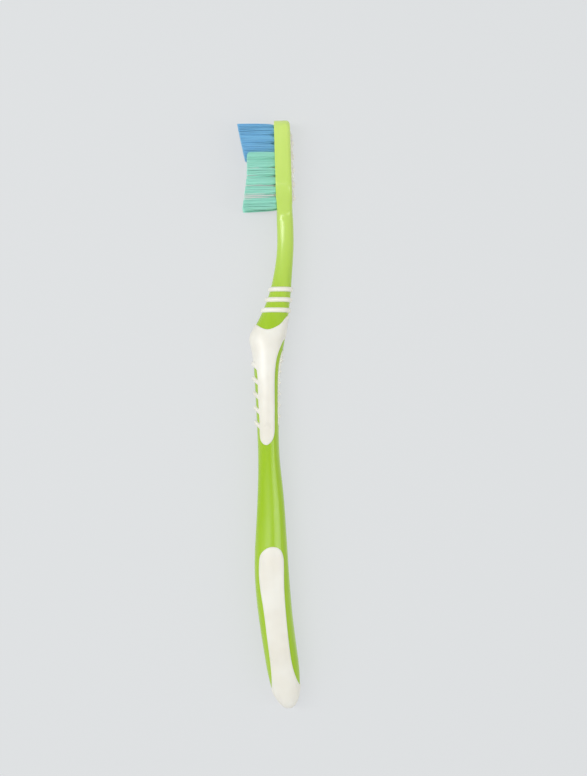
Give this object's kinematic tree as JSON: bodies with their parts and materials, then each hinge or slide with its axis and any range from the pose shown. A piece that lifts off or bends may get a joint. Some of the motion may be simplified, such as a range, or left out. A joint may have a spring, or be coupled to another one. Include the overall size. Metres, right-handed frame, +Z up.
{
  "type": "manual toothbrush",
  "caption": "Long curved hand toothbrush: slim head with trimmed bristle tufts, ringed neck, moulded handle with soft ribbed thumb grip and soft tail grip.",
  "frame": {"origin": "centre of the bounding box in X and Y, on the surface that the brush lies on", "axes": "+Y along the brush from the tail end to the head's tip, -X the way the bristles point, +Z up from the side that it lies on"},
  "size_m": [0.0202, 0.1902, 0.012],
  "materials": {
    "green_handle_plastic": "gloss",
    "white_soft_grip": "satin",
    "blue_bristle_nylon": "satin",
    "teal_bristle_nylon": "satin",
    "white_bristle_nylon": "satin",
    "anchor_brass": "bright"
  },
  "bodies": {
    "root": {"back_grip_strip": "white_soft_grip", "handle_body": "green_handle_plastic", "head_back_pad": "white_soft_grip", "neck_ring_lower": "white_soft_grip", "neck_ring_middle": "white_soft_grip", "neck_ring_upper": "white_soft_grip", "tail_grip": "white_soft_grip", "thumb_grip": "white_soft_grip", "tuft_anchors": "anchor_brass", "tuft_edge_left_01_blue": "blue_bristle_nylon", "tuft_edge_left_02_blue": "blue_bristle_nylon", "tuft_edge_left_03_blue": "blue_bristle_nylon", "tuft_edge_left_04_teal": "teal_bristle_nylon", "tuft_edge_left_05_teal": "teal_bristle_nylon", "tuft_edge_left_06_teal": "teal_bristle_nylon", "tuft_edge_left_07_teal": "teal_bristle_nylon", "tuft_edge_left_08_teal": "teal_bristle_nylon", "tuft_edge_left_09_teal": "teal_bristle_nylon", "tuft_edge_right_01_blue": "blue_bristle_nylon", "tuft_edge_right_02_blue": "blue_bristle_nylon", "tuft_edge_right_03_blue": "blue_bristle_nylon", "tuft_edge_right_04_teal": "teal_bristle_nylon", "tuft_edge_right_05_teal": "teal_bristle_nylon", "tuft_edge_right_06_teal": "teal_bristle_nylon", "tuft_edge_right_07_teal": "teal_bristle_nylon", "tuft_edge_right_08_teal": "teal_bristle_nylon", "tuft_edge_right_09_teal": "teal_bristle_nylon", "tuft_middle_left_01_blue": "blue_bristle_nylon", "tuft_middle_left_02_blue": "blue_bristle_nylon", "tuft_middle_left_03_blue": "blue_bristle_nylon", "tuft_middle_left_04_blue": "blue_bristle_nylon", "tuft_middle_left_05_white": "white_bristle_nylon", "tuft_middle_left_06_white": "white_bristle_nylon", "tuft_middle_left_07_white": "white_bristle_nylon", "tuft_middle_left_08_white": "white_bristle_nylon", "tuft_middle_left_09_white": "white_bristle_nylon", "tuft_middle_left_10_teal": "teal_bristle_nylon", "tuft_middle_right_01_blue": "blue_bristle_nylon", "tuft_middle_right_02_blue": "blue_bristle_nylon", "tuft_middle_right_03_blue": "blue_bristle_nylon", "tuft_middle_right_04_blue": "blue_bristle_nylon", "tuft_middle_right_05_white": "white_bristle_nylon", "tuft_middle_right_06_white": "white_bristle_nylon", "tuft_middle_right_07_white": "white_bristle_nylon", "tuft_middle_right_08_white": "white_bristle_nylon", "tuft_middle_right_09_white": "white_bristle_nylon", "tuft_middle_right_10_teal": "teal_bristle_nylon"}
  },
  "joints": []
}
